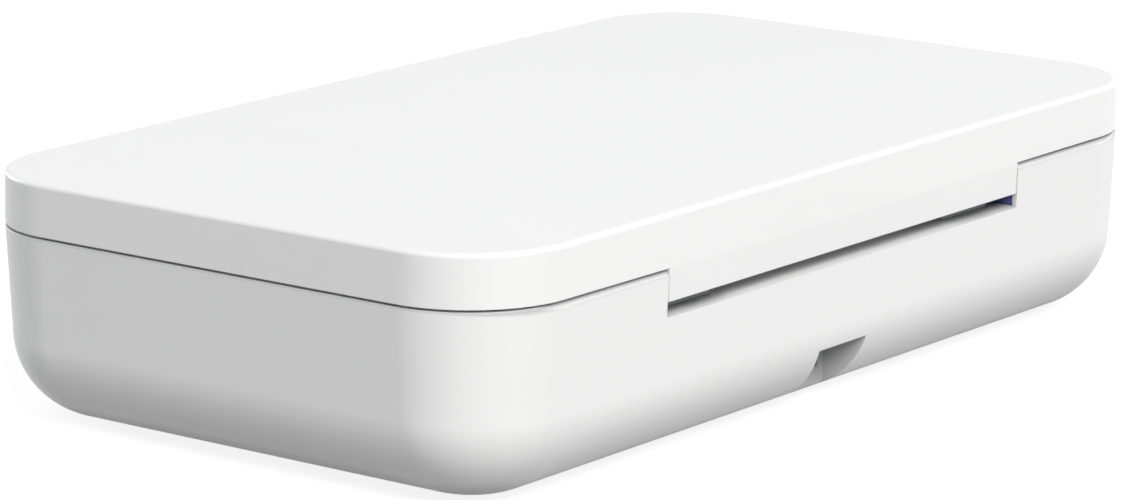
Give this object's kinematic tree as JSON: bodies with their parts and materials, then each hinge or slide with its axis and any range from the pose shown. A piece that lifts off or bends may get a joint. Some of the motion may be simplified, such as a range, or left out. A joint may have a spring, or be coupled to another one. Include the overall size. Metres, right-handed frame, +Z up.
{
  "type": "uv sanitizer box for phones",
  "caption": "Flat box with rounded corners and a rear-hinged lid; ultraviolet lamps behind clear windows in lid and base sanitize a phone laid in its chamber; push button on the front.",
  "frame": {"origin": "on the table, under the middle of the box, at the level of the undersides of the feet", "axes": "+X along the long side, +Y towards the hinge at the rear, +Z up"},
  "size_m": [0.228, 0.132, 0.0501],
  "materials": {
    "shell_white": "fine satin white moulded plastic",
    "inner_plastic": "satin pale grey-white moulded plastic",
    "clear_window": "polished clear plate",
    "lamp_glass": "clear quartz tube",
    "reflector_metal": "bright rolled aluminium",
    "ceramic": "cream glazed ceramic",
    "steel": "satin steel",
    "circuit_board": "green lacquered board",
    "black_component": "black moulded casing",
    "damper_blue": "blue moulded plastic",
    "seal_silicone": "soft grey silicone",
    "foot_rubber": "matt grey rubber",
    "light_pipe": "frosted clear plastic"
  },
  "bodies": {
    "base": {"base_shell": "shell_white", "base_tray": "inner_plastic", "lower_window": "clear_window", "lower_reflector": "reflector_metal", "lower_lamp": "lamp_glass", "lower_lamp_caps": "ceramic", "lower_lamp_clips": "inner_plastic", "phone_rests": "inner_plastic", "light_seal": "seal_silicone", "base_magnets": "steel", "main_board": "circuit_board", "board_parts": "black_component", "lamp_driver": "ceramic", "usb_socket": "steel", "board_screws": "steel", "button_board": "circuit_board", "tact_switch": "black_component", "lid_sensor": "black_component", "indicator_led": "ceramic", "light_pipe": "light_pipe", "rubber_feet": "foot_rubber", "base_screws": "steel", "hinge_bracket_left": "inner_plastic", "hinge_bracket_right": "inner_plastic", "bracket_screws": "steel", "hinge_damper": "damper_blue"},
    "lid": {"lid_shell": "shell_white", "lid_liner": "inner_plastic", "upper_window": "clear_window", "upper_reflector": "reflector_metal", "upper_lamp": "lamp_glass", "upper_lamp_caps": "ceramic", "upper_lamp_clips": "inner_plastic", "lid_magnets": "steel", "sensor_magnet": "steel", "lid_screws": "steel", "hinge_pin_left": "steel", "hinge_pin_right": "steel"},
    "button": {"power_button": "shell_white", "switch_plunger": "inner_plastic"}
  },
  "joints": [
    {"name": "lid_hinge", "type": "hinge", "parent": "base", "child": "lid", "pos_m": [0, 0.0628, 0.0346], "axis": [-1, 0, 0], "range_deg": [0, 95]},
    {"name": "button_press", "type": "slide", "parent": "base", "child": "button", "axis": [0, 1, 0], "range_m": [0, 0.0005], "stiffness_N_per_m": 2500}
  ]
}
